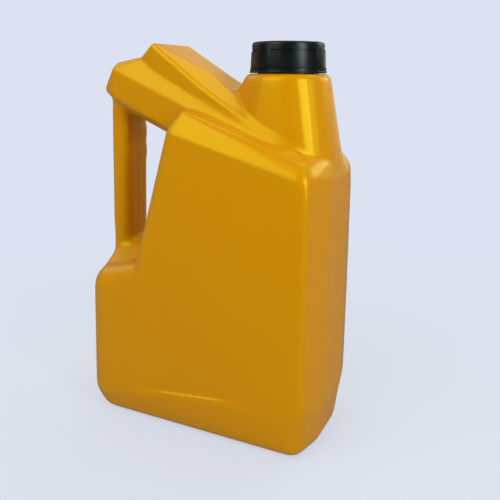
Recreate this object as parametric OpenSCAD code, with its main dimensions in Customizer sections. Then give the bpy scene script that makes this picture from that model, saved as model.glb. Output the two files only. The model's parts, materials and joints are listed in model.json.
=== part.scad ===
// Engine oil bottle: a blown one-piece shell with a hollow handle, and a screw cap with a tamper band.
// X runs from the handle to the neck, Y from front to back, Z up from the standing face. Millimetres.

/* [Body] */
// Overall length, handle end to neck end
body_w = 194; // [184:1:210]
// Overall depth, front face to back face
body_d = 99; // [94:1:110]
// Plan radius of the upright corners at the handle end
corner_r = 19; // [16:0.5:22]
// Plan radius of the upright corners at the neck end
end_corner_r = 10; // [8:0.5:14]
// How far the neck end bulges past its corners
end_bulge = 4.5; // [2:0.25:7]
// Width of the flat strip along the middle of the neck end
end_flat_w = 34; // [24:1:44]
// Wall thickness of the blown shell
wall = 1.2; // [0.9:0.1:1.8]
// Radius of the panel's soft edge along the hand gap
panel_edge_r = 8; // [6:0.5:9]
// Radius of the body's crisper ridges
ridge_r = 3; // [2.5:0.25:4]
// Distance of the panel's upper corner from the handle end
panel_top_x = 87; // [82:1:92]
// Distance of the panel's lower corner from the handle end
panel_foot_x = 56; // [50:1:58]
// Height of the panel's top edge, at the hand gap
panel_gap_h = 228; // [222:1:234]
// Height of the panel's top edge, at the neck end
panel_end_h = 205; // [202:0.5:208]
// Dip of the top edge along the middle of the neck end
end_dip = 2.5; // [1:0.5:5]
// Radius of the neck end's top edge
end_edge_r = 6; // [4:0.5:8]
// Rise of the bevel above the panel's top edge, at the hand gap
bevel_gap_rise = 15; // [10:0.5:18]
// Rise of the bevel above the panel's top edge, at the neck end
bevel_end_rise = 7; // [5:0.5:9]
// How far the bevel leans in from the panel face
bevel_in = 6.5; // [4:0.5:9]
// Shift of the bevel's upper corners along X, from the panel's corners
bevel_shift = 5; // [2:0.5:8]
// Height of the rounded shoulder at the handle end
shoulder_h = 120; // [114:1:126]
// Radius of that shoulder's rim
shoulder_r = 16; // [10:0.5:18]
// Inward lean of the handle end, foot to shoulder
shoulder_in = 4; // [0:0.5:5]

/* [Foot] */
// Height of the foot's top edge, at the handle end
foot_left_h = 20; // [16:0.5:24]
// Height of the foot's top edge, at the neck end
foot_right_h = 28; // [24:0.5:32]
// Height of the slope from the foot up to the overhanging body
foot_slope_h = 7; // [4:0.5:10]
// Overhang of the body past the foot, at the neck end
foot_overhang = 1.8; // [1:0.1:3]
// Set-back of the foot's sides below the overhang
foot_side_in = 2; // [0.5:0.25:3]
// Radius of the foot's upper edge
foot_edge_r = 3; // [2.5:0.25:4]
// Length of the ledge on the foot's front and back
ledge_w = 88; // [60:1:100]
// Height of the ledge at its handle end
ledge_left_h = 27; // [25:0.5:30]
// Height of the ledge at its neck end
ledge_right_h = 36; // [34:0.5:40]
// Set-back of the panel's lower edge behind the ledge
panel_set_back = 1.2; // [0.6:0.1:1.6]
// Inward taper of the foot, top to bottom
foot_taper = 4; // [2:0.25:5]
// Radius of the edge round the standing face
base_edge_r = 8; // [5:0.5:9]
// Depth of the hollow under the base
base_hollow_h = 2; // [1:0.25:3]
// Width of the foot left outside that hollow
base_rim_w = 22; // [18:0.5:28]

/* [Handle] */
// Set-in of the grip's outer face from the handle end of the body
grip_in = 4; // [3:0.5:6]
// Thickness of the grip along X
grip_t = 16.5; // [15:0.5:19]
// Width of the grip along Y
grip_w = 32; // [28:0.5:38]
// Radius of the grip's long edges
grip_edge_r = 7; // [5:0.25:7.25]
// Lean of the grip toward the body over its height
grip_lean = 4; // [0:0.5:5]
// Number of finger swells on the grip's inner face
finger_n = 2; // [1:1:4]
// Distance between the notches beside the finger swells
finger_pitch = 15.5; // [13:0.5:17]
// Height of a finger swell above the grip's inner face
finger_h = 0.9; // [0.6:0.1:1.6]
// Drop from the bar's widest line to the uppermost notch
finger_drop = 25; // [22:0.5:28]
// Height of the hand seat at the foot of the grip
seat_h = 134; // [130:0.5:138]
// Set-in of that seat from the grip's outer face
seat_in = 5; // [0:0.5:8]
// Height of the bar's widest line, at the handle end
bar_end_h = 256; // [252:0.5:260]
// Set-in of the bar's end from the handle end of the body
bar_end_in = 4.5; // [3:0.5:6]
// Plan radius of the bar's end
bar_end_r = 20; // [16:0.5:22]
// Width of the bar across its lower ridges, at the handle end
bar_w = 56; // [52:1:60]
// Width of the bar's flat top
bar_top_w = 48; // [44:1:50]
// Height of the bar's top, at its end corner
bar_top_h = 276.5; // [273:0.5:279]
// Run of the bar's sloped end face
bar_end_run = 19; // [16:0.5:22]
// Drop from the bar's top to its lower ridge, at the end corner
ridge_drop = 3; // [2:0.25:5]
// Depth of the bar below its lower ridge
bar_depth = 22.5; // [20:0.5:25]
// Height of the bar's sloped lower chamfer
bar_chamfer = 7; // [5:0.5:9]
// Run of that chamfer
bar_chamfer_run = 10.5; // [8:0.5:12]
// Length of the bar's lower ridge
ridge_len = 158; // [150:1:162]
// Fall of the bar's lower ridge over that length
ridge_fall = 63.5; // [62:0.5:68]
// Width across the two lower ridges where they run into the body
ridge_end_w = 78; // [74:1:80]

/* [Spine] */
// Height of the spine's highest edge
spine_h = 290; // [285:0.5:292]
// Distance of that edge from the handle end of the body
spine_x = 57; // [54:1:62]
// Run of the sloped end face below that edge
spine_end_run = 11; // [9:0.5:13]
// Drop of that end face
spine_end_drop = 9.5; // [7:0.5:11]
// Width of the spine at its highest edge
spine_w = 52; // [50:1:54]
// Height of the spine where it turns flatter
spine_turn_h = 262; // [259:0.5:264]
// Clear length between that turn and the tamper band
spine_turn_gap = 29; // [26:0.5:32]
// Width of the spine at that turn
spine_turn_w = 60; // [56:1:62]
// Crown of the spine's roof at that turn
spine_crown = 7; // [3:0.5:8]
// Width of the crowned strip
spine_crown_w = 30; // [24:1:36]
// Width of the spine where it runs into the body
spine_foot_w = 76; // [70:1:78]
// Rise of the spine's lower end above the body's neck end
spine_foot_rise = 9.5; // [8:0.5:11]
// Distance of the spine's lower end past the neck axis
spine_past = 24; // [18:1:26]

/* [Tower and neck] */
// Distance of the neck axis from the neck end of the body
neck_to_end = 40.8; // [40:0.2:44]
// Height of the tower's top
tower_h = 268.6; // [264:0.2:270]
// Radius of the tower's round top
tower_top_r = 30.7; // [29.5:0.1:32]
// Set-in of the tower's squared base from the neck end of the body
tower_end_in = 0.2; // [0.2:0.1:2]
// Half depth of the tower's squared base, along Y
tower_base_y = 35; // [33:0.5:37]
// Height of that base, inside the body
tower_base_h = 198; // [194:0.5:202]
// Corner radius of the tower's squared base
tower_corner_r = 28; // [24:0.5:34]
// Height at which the body's top at the neck end runs up to the tower
apron_h = 214; // [210:0.5:218]
// Radius of the tower's upper edge
tower_edge_r = 5; // [3:0.5:6]
// Drop from the tower's top to its flared side over the spine
flare_drop = 15; // [12:0.5:18]
// Reach of that flared side from the neck axis
flare_reach = 38; // [34:0.5:41]
// Plan radius of that flared side
flare_r = 24; // [20:0.5:28]
// Outer radius of the neck below its thread crests
neck_r = 21.5; // [20:0.25:22]
// Wall thickness of the neck
neck_wall = 2.4; // [1.8:0.1:3]
// Radius of the bead that holds the tamper band
bead_r = 23.2; // [22.8:0.1:23.4]
// Height of that bead
bead_h = 2.6; // [2:0.1:3]

/* [Cap] */
// Clear height between the tower's top and the tamper band
band_gap = 0.4; // [0.3:0.1:2]
// Height of the tamper band
band_h = 3.2; // [2.8:0.1:4.6]
// Radius of the lip at the band's lower edge
band_lip_r = 27.1; // [26.9:0.05:28]
// Height of that lip
band_lip_h = 1.4; // [1:0.1:1.6]
// Slit between the tamper band and the cap
slit = 0.4; // [0.3:0.05:0.6]
// Height of the cap above the slit
cap_h = 17.4; // [15:0.1:20]
// Outer radius of the cap at its top
cap_top_r = 25.6; // [25.4:0.05:26]
// Outer radius of the cap at its lower edge
cap_foot_r = 26.4; // [26.2:0.05:26.8]
// Thickness of the cap's skirt, at its lower edge
cap_wall = 2; // [1.6:0.1:2.2]
// Thickness of the cap's top
cap_top_t = 1.8; // [1.4:0.1:2.6]
// Radius of the cap's upper edge
cap_edge_r = 2; // [1:0.1:3]
// Drop from the cap's top to its row of slots
slot_drop = 5.6; // [4.5:0.1:7]
// Height of a slot
slot_h = 0.8; // [0.5:0.05:1.2]
// Depth of a slot
slot_depth = 0.6; // [0.4:0.05:0.8]
// Number of slots round the cap
slot_n = 9; // [8:1:18]
// Turn of the first slot from the X axis, in degrees
slot_turn = -15; // [-20:1:20]
// Width of the solid bridge between two slots
slot_bridge = 4; // [3:0.25:5]
// Thickness of the sealing disc in the cap
liner_t = 1.2; // [0.8:0.1:2]
// Clearance between the sealing disc and its seats
liner_clear = 0.2; // [0.1:0.05:0.3]
// Radial clearance between the tamper band and the neck
band_clear = 0.6; // [0.4:0.05:0.8]

/* [Hidden] */

// Facets of small rounded edges, of upright corners, and of the neck
edge_fn = 16;
corner_fn = 32;
neck_fn = 72;
// Angle between two points of an arc drawn by hand
arc_step = 15;
// Share of an edge's radius by which its centre lies below the visible line: panel, neck end
panel_sink = 0.25;
end_sink = 0.75;
// Overlap that lets one cut run clear through a face
cut = 1;

body_colour = [0.86, 0.58, 0.02];
cap_colour = [0.07, 0.07, 0.08];
liner_colour = [0.93, 0.92, 0.88];

left_x = -body_w / 2;
right_x = body_w / 2;
half_d = body_d / 2;

// Neck and cap stack
neck_x = right_x - neck_to_end;
tower_base_x = neck_to_end - tower_end_in;
tower_top_z = tower_h - tower_edge_r;
apron_share = (apron_h - tower_base_h) / (tower_top_z - tower_base_h);
apron_x = tower_base_x + (tower_top_r - tower_base_x) * apron_share;
apron_y = tower_base_y + (tower_top_r - tower_base_y) * apron_share;
band_z = tower_h + band_gap;
cap_z = band_z + band_h + slit;
cap_top_z = cap_z + cap_h;
liner_z = cap_top_z - cap_top_t - liner_t;
rim_z = liner_z - liner_clear;
bore_r = neck_r - neck_wall;
bead_z = band_z + band_lip_h + slit;
cap_bore_r = cap_foot_r - cap_wall;
cap_top_bore_r = cap_top_r - cap_wall;
liner_r = cap_top_bore_r - liner_clear;
slot_pitch = 360 / slot_n;
slot_angle = slot_pitch - slot_bridge / cap_foot_r * 180 / PI;

// Body outline
panel_y = half_d - panel_edge_r;
panel_top = [left_x + panel_top_x, panel_gap_h - panel_edge_r * panel_sink];
panel_foot = [left_x + panel_foot_x, shoulder_h];
panel_end_z = panel_end_h - end_edge_r * end_sink;
bevel_y = half_d - bevel_in - ridge_r;
bevel_gap = [panel_top.x + bevel_shift, panel_gap_h + bevel_gap_rise - ridge_r];
bevel_end = [right_x - end_corner_r - ridge_r, panel_end_h + bevel_end_rise - ridge_r];
shoulder_z = shoulder_h - shoulder_r;
overhang_z = foot_right_h + foot_slope_h;

// Handle: grip, bar and spine
grip_out_x = left_x + grip_in;
grip_in_x = grip_out_x + grip_t;
grip_y = grip_w / 2 - grip_edge_r;
grip_top_z = bar_end_h - grip_edge_r;
bar_left_x = left_x + bar_end_in;
bar_top_x = bar_left_x + bar_end_run;
bar_top_y = bar_top_w / 2 - ridge_r;
ridge_y = bar_w / 2 - ridge_r;
ridge_z = bar_top_h - ridge_drop - ridge_r;
ridge_end_x = bar_top_x + ridge_len;
ridge_end_y = ridge_end_w / 2 - ridge_r;
spine_y = spine_w / 2 - ridge_r;
spine_turn_y = spine_turn_w / 2 - ridge_r;
spine_foot_y = spine_foot_w / 2 - ridge_r;
spine_edge = [left_x + spine_x, spine_h - ridge_r];
spine_end = [spine_edge.x - spine_end_run, spine_edge.y - spine_end_drop];
spine_turn = [neck_x - band_lip_r - spine_turn_gap, spine_turn_h - ridge_r];
spine_foot = [neck_x + spine_past, panel_end_h + spine_foot_rise - ridge_r];

// Soft disc with a rounded rim: hull() of several makes a moulded block
module puck(at, plan_r, rim_r, inset) {
    translate(at)
        rotate_extrude($fn = corner_fn)
            intersection() {
                translate([plan_r - rim_r, 0])
                    circle(r = rim_r - inset, $fn = edge_fn);
                translate([0, -rim_r])
                    square([plan_r, rim_r * 2]);
            }
}

// Same soft disc on the front and on the back
module puck_pair(x, y, z, plan_r, rim_r, inset) {
    for (side = [-1, 1])
        puck([x, side * y, z], plan_r, rim_r, inset);
}

// Soft point on the front and on the back: hull() of several makes a ridge or a panel edge
module knuckles(x, y, z, r, inset) {
    for (side = [-1, 1])
        translate([x, side * y, z])
            sphere(r = r - inset, $fn = edge_fn);
}

// Upright corners at the handle end, moved in by a length along X and along Y
module handle_end(z, rim_r, in_x, in_y, inset) {
    puck_pair(left_x + corner_r + in_x, half_d - corner_r - in_y, z, corner_r, rim_r, inset);
}

// Upright corners and bulge at the neck end, moved in along X and along Y, with a dip between the corners
module neck_end(z, rim_r, in_x, in_y, inset, dip = 0) {
    end_x = right_x - end_corner_r - in_x;
    puck_pair(end_x - end_bulge, half_d - end_corner_r - in_y, z, end_corner_r, rim_r, inset);
    puck_pair(end_x, end_flat_w / 2, z - dip, end_corner_r, rim_r, inset);
}

// Foot with tapered sides, a rounded standing edge and a climbing ledge
module foot(inset) {
    hull() {
        handle_end(base_edge_r, base_edge_r, foot_taper, foot_taper, inset);
        neck_end(base_edge_r, base_edge_r, foot_taper, foot_taper, inset);
        handle_end(foot_left_h - foot_edge_r, foot_edge_r, 0, panel_set_back, inset);
        neck_end(foot_right_h - foot_edge_r, foot_edge_r, foot_overhang, foot_side_in, inset);
        knuckles(-ledge_w / 2, half_d - foot_edge_r, ledge_left_h - foot_edge_r, foot_edge_r, inset);
        knuckles(ledge_w / 2, half_d - foot_edge_r, ledge_right_h - foot_edge_r, foot_edge_r, inset);
    }
}

// Lower body, from the foot to the rounded shoulder at the handle end
module lower_body(inset) {
    hull() {
        handle_end(foot_left_h - foot_edge_r, foot_edge_r, 0, panel_set_back, inset);
        neck_end(foot_right_h - foot_edge_r, foot_edge_r, foot_overhang, foot_side_in, inset);
        neck_end(overhang_z, foot_edge_r, 0, panel_set_back / 2, inset);
        handle_end(shoulder_z, shoulder_r, shoulder_in, 0, inset);
        neck_end(shoulder_z, foot_edge_r, 0, 0, inset);
        knuckles(panel_foot.x, panel_y, panel_foot.y, panel_edge_r, inset);
    }
}

// Hand seat that rises from the shoulder to the foot of the grip
module seat(inset) {
    seat_y = half_d - corner_r - shoulder_r / 2;
    hull() {
        for (x = [grip_in_x, panel_foot.x])
            puck_pair(x, seat_y, shoulder_z, corner_r, shoulder_r, inset);
        for (x = [grip_out_x + grip_edge_r + seat_in, panel_foot.x])
            knuckles(x, grip_y, seat_h - grip_edge_r, grip_edge_r, inset);
    }
}

// Upper body: the large flat panels with their bevelled top
module upper_body(inset) {
    hull() {
        knuckles(panel_foot.x, panel_y, panel_foot.y, panel_edge_r, inset);
        knuckles(panel_top.x, panel_y, panel_top.y, panel_edge_r, inset);
        knuckles(bevel_gap.x, bevel_y, bevel_gap.y, ridge_r, inset);
        knuckles(bevel_end.x, bevel_y, bevel_end.y, ridge_r, inset);
        neck_end(shoulder_z, ridge_r, 0, 0, inset);
        neck_end(panel_end_z, end_edge_r, 0, 0, inset, end_dip);
        puck_pair(neck_x + apron_x - tower_corner_r, apron_y - tower_corner_r, apron_h - ridge_r,
            tower_corner_r, ridge_r, inset);
    }
}

// Bar over the hand gap, running down into the body's top as a pair of ridges
module bar(inset) {
    hull() {
        puck_pair(bar_left_x + bar_end_r, bar_w / 2 - bar_end_r, bar_end_h, bar_end_r, ridge_r, inset);
        knuckles(bar_top_x, bar_top_y, bar_top_h - ridge_r, ridge_r, inset);
        knuckles(spine_end.x, bar_top_y, spine_end.y, ridge_r, inset);
        for (end = [[bar_top_x, ridge_y, ridge_z], [ridge_end_x, ridge_end_y, ridge_z - ridge_fall]]) {
            knuckles(end.x, end.y, end.z, ridge_r, inset);
            knuckles(end.x, end.y, end.z - bar_depth + ridge_r, ridge_r, inset);
            knuckles(end.x, end.y - bar_chamfer_run, end.z - bar_depth - bar_chamfer + ridge_r,
                ridge_r, inset);
        }
    }
}

// Cross-section of the spine where it turns flatter, with its crowned roof
module spine_turn_section(inset) {
    for (drop = [0, bar_depth])
        knuckles(spine_turn.x, spine_turn_y, spine_turn.y - drop, ridge_r, inset);
    knuckles(spine_turn.x, spine_crown_w / 2 - ridge_r, spine_turn.y + spine_crown, ridge_r, inset);
}

// Steep half of the spine, from its highest edge down to its turn
module spine_steep(inset) {
    hull() {
        spine_turn_section(inset);
        knuckles(spine_edge.x, spine_y, spine_edge.y, ridge_r, inset);
        knuckles(spine_end.x, bar_top_y, spine_end.y, ridge_r, inset);
        knuckles(spine_edge.x, spine_y, spine_turn.y, ridge_r, inset);
    }
}

// Flatter half of the spine, running past the tower's foot
module spine_flat(inset) {
    hull() {
        spine_turn_section(inset);
        for (drop = [0, bar_depth])
            knuckles(spine_foot.x, spine_foot_y, spine_foot.y - drop, ridge_r, inset);
    }
}

// Upright grip between the bar and the seat
module grip(inset) {
    hull()
        for (end = [[0, shoulder_z], [grip_lean, grip_top_z]])
            for (x = [grip_out_x + grip_edge_r, grip_in_x - grip_edge_r])
                knuckles(x + end[0], grip_y, end[1], grip_edge_r, inset);
}

// Finger swells on the grip's inner face, below a notch under the bar
module finger_swells(inset) {
    for (i = [0 : finger_n - 1]) {
        z = bar_end_h - finger_drop - (i + 0.5) * finger_pitch;
        lean = grip_lean * (z - shoulder_z) / (grip_top_z - shoulder_z);
        hull()
            for (step = [-1 : 1])
                knuckles(grip_in_x - grip_edge_r + lean + (1 - abs(step)) * finger_h, grip_y,
                    z + step * finger_pitch / 2, grip_edge_r, inset);
    }
}

// Conical tower under the neck: squared at its base, round at its top, flared over the spine
module tower(inset) {
    base_x = tower_base_x - tower_corner_r;
    base_y = tower_base_y - tower_corner_r;
    hull() {
        puck([neck_x, 0, tower_top_z], tower_top_r, tower_edge_r, inset);
        puck([neck_x - flare_reach + flare_r, 0, tower_h - flare_drop], flare_r, tower_edge_r, inset);
        for (dx = [-base_x, base_x])
            puck_pair(neck_x + dx, base_y, tower_base_h, tower_corner_r, tower_edge_r, inset);
    }
}

// Whole outer form of the shell, or its inner form when inset by the wall
module shell_form(inset) {
    foot(inset);
    lower_body(inset);
    seat(inset);
    upper_body(inset);
    bar(inset);
    spine_steep(inset);
    spine_flat(inset);
    grip(inset);
    finger_swells(inset);
    tower(inset);
}

// Shallow hollow under the base, inside the standing rim
module base_hollow(grow) {
    top_r = base_edge_r + grow;
    hollow_h = cut + base_hollow_h + grow;
    hollow_x = body_w / 2 - base_rim_w - base_edge_r;
    hollow_y = half_d - base_rim_w - base_edge_r + foot_taper;
    hull()
        for (x = [-hollow_x, hollow_x], y = [-hollow_y, hollow_y])
            translate([x, y, -cut])
                cylinder(r1 = top_r + base_hollow_h, r2 = top_r, h = hollow_h, $fn = corner_fn);
}

// Neck with the bead that holds the tamper band
module neck_outside() {
    translate([neck_x, 0, 0])
        rotate_extrude($fn = neck_fn)
            polygon([
                [bore_r - cut, tower_top_z - cut],
                [neck_r, tower_top_z - cut],
                [neck_r, bead_z],
                [bead_r, bead_z],
                [bead_r, bead_z + bead_h / 2],
                [neck_r, bead_z + bead_h],
                [neck_r, rim_z],
                [bore_r - cut, rim_z],
            ]);
}

module bottle() {
    color(body_colour)
        difference() {
            union() {
                shell_form(0);
                neck_outside();
            }
            base_hollow(0);
            difference() {
                shell_form(wall);
                base_hollow(wall);
            }
            translate([neck_x, 0, tower_top_z - tower_edge_r])
                cylinder(r = bore_r, h = rim_z - tower_top_z + tower_edge_r + cut, $fn = neck_fn);
        }
}

// Cap's section: domed edge, tapered skirt, open below
module cap_section() {
    polygon(concat(
        [[0, cap_top_z], [0, cap_top_z - cap_top_t], [cap_top_bore_r, cap_top_z - cap_top_t]],
        [[cap_bore_r, cap_z], [cap_foot_r, cap_z]],
        [for (a = [0 : arc_step : 90])
            [cap_top_r - cap_edge_r * (1 - cos(a)), cap_top_z - cap_edge_r * (1 - sin(a))]]
    ));
}

// One slot of the row round the cap
module slot() {
    slot_z = cap_top_z - slot_drop;
    slot_r = cap_top_r + (cap_foot_r - cap_top_r) * (slot_drop - cap_edge_r) / (cap_h - cap_edge_r);
    rotate_extrude(angle = slot_angle)
        translate([slot_r - slot_depth, slot_z])
            square([slot_depth + cut, slot_h]);
}

module cap() {
    color(cap_colour)
        translate([neck_x, 0, 0])
            difference() {
                rotate_extrude()
                    cap_section();
                for (i = [0 : slot_n - 1])
                    rotate([0, 0, slot_turn + i * slot_pitch])
                        slot();
            }
}

module tamper_band() {
    top_bore_r = bead_r + band_clear;
    color(cap_colour)
        translate([neck_x, 0, 0])
            rotate_extrude()
                polygon([
                    [neck_r + band_clear, band_z],
                    [band_lip_r, band_z],
                    [band_lip_r, band_z + band_lip_h],
                    [cap_foot_r, band_z + band_lip_h],
                    [cap_foot_r, band_z + band_h],
                    [top_bore_r, band_z + band_h],
                    [top_bore_r, band_z + band_lip_h],
                    [neck_r + band_clear, band_z + band_lip_h],
                ]);
}

module cap_liner() {
    color(liner_colour)
        translate([neck_x, 0, liner_z])
            cylinder(r = liner_r, h = liner_t);
}

bottle();
cap();
tamper_band();
cap_liner();
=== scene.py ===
# %% [markdown]
# # An engine oil bottle, step by step
#
# The object is a blown polyethylene bottle with a hollow handle, a conical tower under the neck,
# and a black screw cap whose lower edge is a tamper band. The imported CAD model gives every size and
# place. This lesson turns its faceted solids into soft moulded ones, adds the small marks of the
# moulding, and lights the result.

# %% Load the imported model
import json
import math

import bmesh
import bpy
import numpy as np
from mathutils import Matrix, Vector

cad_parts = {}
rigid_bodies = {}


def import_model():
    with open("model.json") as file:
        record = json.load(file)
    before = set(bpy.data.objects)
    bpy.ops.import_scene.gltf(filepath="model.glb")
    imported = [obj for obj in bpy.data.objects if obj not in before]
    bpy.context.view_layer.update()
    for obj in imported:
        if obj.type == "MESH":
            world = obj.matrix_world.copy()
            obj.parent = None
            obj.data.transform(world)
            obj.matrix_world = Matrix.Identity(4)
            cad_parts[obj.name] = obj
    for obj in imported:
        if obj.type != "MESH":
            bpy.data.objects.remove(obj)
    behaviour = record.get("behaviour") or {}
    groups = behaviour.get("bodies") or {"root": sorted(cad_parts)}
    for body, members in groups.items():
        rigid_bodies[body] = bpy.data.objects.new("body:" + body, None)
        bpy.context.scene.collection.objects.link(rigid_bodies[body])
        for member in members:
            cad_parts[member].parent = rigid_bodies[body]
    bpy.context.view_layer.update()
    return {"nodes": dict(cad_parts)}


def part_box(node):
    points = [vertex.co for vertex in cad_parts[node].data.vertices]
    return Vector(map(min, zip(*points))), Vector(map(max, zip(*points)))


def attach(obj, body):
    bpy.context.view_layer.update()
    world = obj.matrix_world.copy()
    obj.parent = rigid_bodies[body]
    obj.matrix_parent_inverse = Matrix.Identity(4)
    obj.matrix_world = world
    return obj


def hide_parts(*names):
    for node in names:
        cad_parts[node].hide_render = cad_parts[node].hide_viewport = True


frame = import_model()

# %% [markdown]
# ## Measure before making
#
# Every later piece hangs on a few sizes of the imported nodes: the neck's axis, the levels of the cap
# and its band, and the radii at their lower edges. They are measured here once, so that no piece
# needs fitting by eye.

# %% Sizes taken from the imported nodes
MM = 0.001

cap_low, cap_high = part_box("cap")
band_low, band_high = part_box("tamper_band")
liner_low, liner_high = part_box("cap_liner")
neck_x = (band_low.x + band_high.x) / 2
neck_axis = Vector((neck_x, 0.0, 0.0))
cap_foot_r = (cap_high.y - cap_low.y) / 2
band_lip_r = (band_high.y - band_low.y) / 2
liner_r = (liner_high.y - liner_low.y) / 2


def from_axis(point):
    """Distance of a point from the neck's upright axis."""
    return math.hypot(point[0] - neck_x, point[1])


print(f"neck axis at x = {neck_x / MM:.1f} mm, cap foot radius {cap_foot_r / MM:.1f} mm")

# %% [markdown]
# ## The camera
#
# The photograph was taken from a little below the cap's top, turned toward the neck end. A camera
# could be placed by trial, but the bottle's known corners fix it better: its heading, height, tilt
# and lens come from matching those corners to the picture. The small shift keeps the bottle where
# the photograph frames it.

# %% Place the camera
FRAME_PX = 500
FOCAL_PX = 609.3
SENSOR_MM = 36.0
AZIMUTH, TURN, TILT, ROLL = (math.radians(a) for a in (28.587, -3.042, 11.584, 0.374))
DISTANCE, EYE_HEIGHT, SHIFT_UP = 0.46195, 0.26757, -0.1

heading = AZIMUTH + TURN
right = Vector((math.cos(heading), math.sin(heading), 0.0))
level_way = Vector((-math.sin(heading), math.cos(heading), 0.0))
forward = level_way * math.cos(TILT) + Vector((0.0, 0.0, -math.sin(TILT)))
look = Matrix((right, right.cross(forward), -forward)).transposed().to_4x4()
look = look @ Matrix.Rotation(ROLL, 4, "Z")

camera = bpy.data.objects.new("camera", bpy.data.cameras.new("camera"))
bpy.context.scene.collection.objects.link(camera)
eye = Vector((DISTANCE * math.sin(AZIMUTH), -DISTANCE * math.cos(AZIMUTH), EYE_HEIGHT))
camera.matrix_world = Matrix.Translation(eye) @ look
camera.data.sensor_width = SENSOR_MM
camera.data.lens = FOCAL_PX / FRAME_PX * SENSOR_MM
camera.data.shift_y = SHIFT_UP
bpy.context.scene.camera = camera
print(f"camera at {tuple(round(v, 3) for v in eye)} with a {camera.data.lens:.1f} mm lens")

# %% [markdown]
# ## Sums on sockets
#
# Shader maths grows long when every node is placed by hand. The small class below wraps a socket,
# so that a Python expression such as 1 - mask adds the Math node for it. One method, add, makes
# every other node: it takes the node's type, its settings, and what goes into its sockets.

# %% A socket that does sums, and a tree that makes nodes


class Wire:
    """An output socket that takes part in sums."""

    def __init__(self, tree, socket):
        self.tree = tree
        self.socket = socket

    def sum(self, operation, first, second):
        return self.tree.add("ShaderNodeMath", {"operation": operation}, {0: first, 1: second})

    def __add__(self, other):
        return self.sum("ADD", self, other)

    def __radd__(self, other):
        return self.sum("ADD", other, self)

    def __sub__(self, other):
        return self.sum("SUBTRACT", self, other)

    def __rsub__(self, other):
        return self.sum("SUBTRACT", other, self)

    def __mul__(self, other):
        return self.sum("MULTIPLY", self, other)

    def __rmul__(self, other):
        return self.sum("MULTIPLY", other, self)

    def __truediv__(self, other):
        return self.sum("DIVIDE", self, other)

    def __rtruediv__(self, other):
        return self.sum("DIVIDE", other, self)

    def at_least(self, floor):
        return self.sum("MAXIMUM", self, floor)

    def at_most(self, roof):
        return self.sum("MINIMUM", self, roof)

    def output(self, name):
        return Wire(self.tree, self.socket.node.outputs[name])


class Tree:
    """A node tree built by one method."""

    def __init__(self, nodes_of):
        self.nodes_of = nodes_of

    def add(self, kind, settings=None, sockets=None):
        node = self.nodes_of.nodes.new(kind)
        for name, value in (settings or {}).items():
            setattr(node, name, value)
        for name, value in (sockets or {}).items():
            if isinstance(value, Wire):
                self.nodes_of.links.new(value.socket, node.inputs[name])
            else:
                node.inputs[name].default_value = value
        return Wire(self, node.outputs[0]) if node.outputs else None


print("sums on sockets are ready")

# %% [markdown]
# ## Finishes
#
# A finish is a material with one Principled shader. What is the same all over is set on the
# shader's own sockets, and what changes over the surface is fed from textures that read Object
# coordinates, so a pattern stays on the piece when it moves.

# %% A finish and its noise


class Finish(Tree):
    """A material with one Principled shader, fed by name."""

    def __init__(self, name, constants):
        self.material = bpy.data.materials.new(name)
        self.material.use_nodes = True
        super().__init__(self.material.node_tree)
        self.shader = self.nodes_of.nodes["Principled BSDF"]
        for socket, value in constants.items():
            self.shader.inputs[socket].default_value = value
        self.place = self.add("ShaderNodeTexCoord").output("Object")

    def feed(self, socket, wire):
        self.nodes_of.links.new(wire.socket, self.shader.inputs[socket])

    def noise(self, scale, detail, stretch=(1.0, 1.0, 1.0)):
        place = self.add("ShaderNodeMapping", None, {"Vector": self.place, "Scale": stretch})
        sockets = {"Vector": place, "Scale": scale, "Detail": detail}
        return self.add("ShaderNodeTexNoise", None, sockets).output("Fac")

    def blend(self, share, first, second):
        settings = {"data_type": "RGBA"}
        node = self.add("ShaderNodeMix", settings, {"Factor": share, 6: first, 7: second})
        return Wire(self, node.socket.node.outputs[2])

    def bump(self, height, strength, distance):
        sockets = {"Height": height, "Strength": strength, "Distance": distance}
        self.feed("Normal", self.add("ShaderNodeBump", None, sockets))


print("finishes are ready")

# %% [markdown]
# ## Yellow blown polyethylene
#
# Blown polyethylene is satin, coloured right through, and carries faint upright draw lines from the
# tube it was blown from, over the fine grain of a blasted mould. The standing edge gets scuffed. A
# single colour would look like paint, so the colour drifts slightly between a deep and a bright
# yellow.

# %% The yellow finish
WARM_GLOSS = (0.95, 1.0, 0.05, 1.0)
yellow = Finish("yellow_polyethylene", {
    "IOR": 1.5, "Specular IOR Level": 1.0, "Specular Tint": WARM_GLOSS})
drift = yellow.noise(11.0, 2.0)
draw_lines = yellow.noise(60.0, 3.0, (1.0, 1.0, 0.03))
grain = yellow.noise(1500.0, 2.0)
SCUFF_H = 3.0 * MM
height = yellow.add("ShaderNodeSeparateXYZ", None, {"Vector": yellow.place}).output("Z")
scuff = (1.0 - height / SCUFF_H).at_least(0.0).at_most(1.0) * yellow.noise(350.0, 3.0)
DEEP_YELLOW = (0.540, 0.215, 0.0, 1.0)
BRIGHT_YELLOW = (0.575, 0.231, 0.0, 1.0)
SCUFFED_YELLOW = (0.64, 0.40, 0.08, 1.0)
moulded = yellow.blend(drift * 0.7 + draw_lines * 0.3, DEEP_YELLOW, BRIGHT_YELLOW)
yellow.feed("Base Color", yellow.blend(scuff * 0.5, moulded, SCUFFED_YELLOW))
yellow.feed("Roughness", 0.31 + draw_lines * 0.03 + grain * 0.03 + scuff * 0.2)
yellow.bump(grain * 0.6 + draw_lines * 0.4, 0.03, 0.2 * MM)
print("made", yellow.material.name)

# %% [markdown]
# ## Black polypropylene and white foam
#
# The cap and its band are injection moulded from black polypropylene: smoother than the bottle,
# with fine upright lines where the part slid out of the mould. The sealing disc in the cap is white
# foam with small cells.

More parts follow.
